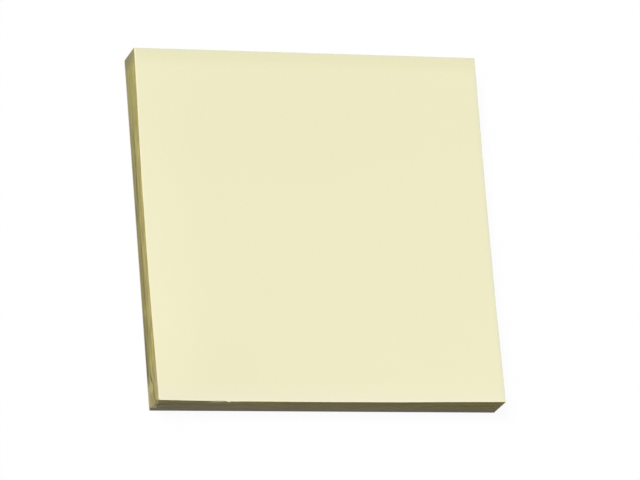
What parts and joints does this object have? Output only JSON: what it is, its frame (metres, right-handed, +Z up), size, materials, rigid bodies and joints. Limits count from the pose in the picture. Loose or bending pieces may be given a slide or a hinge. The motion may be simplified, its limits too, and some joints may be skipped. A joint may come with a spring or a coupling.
{
  "type": "sticky note pad",
  "caption": "Square pad of thin pale yellow paper notes stuck together along one edge on a backing sheet, a little thicker at the glued edge, with free corners that curl up.",
  "frame": {"origin": "centre of the underside of the backing sheet", "axes": "+Z up through the thickness of the pad, +Y towards the glued edge, +X to the right with the glued edge at the top"},
  "size_m": [0.0764, 0.0764, 0.008],
  "materials": {
    "note_paper": "matt, pale yellow",
    "backing_paper": "smooth, coated on the side that meets the lowest note"
  },
  "bodies": {
    "root": {"note_stack": "note_paper", "backing_sheet": "backing_paper"}
  },
  "joints": []
}
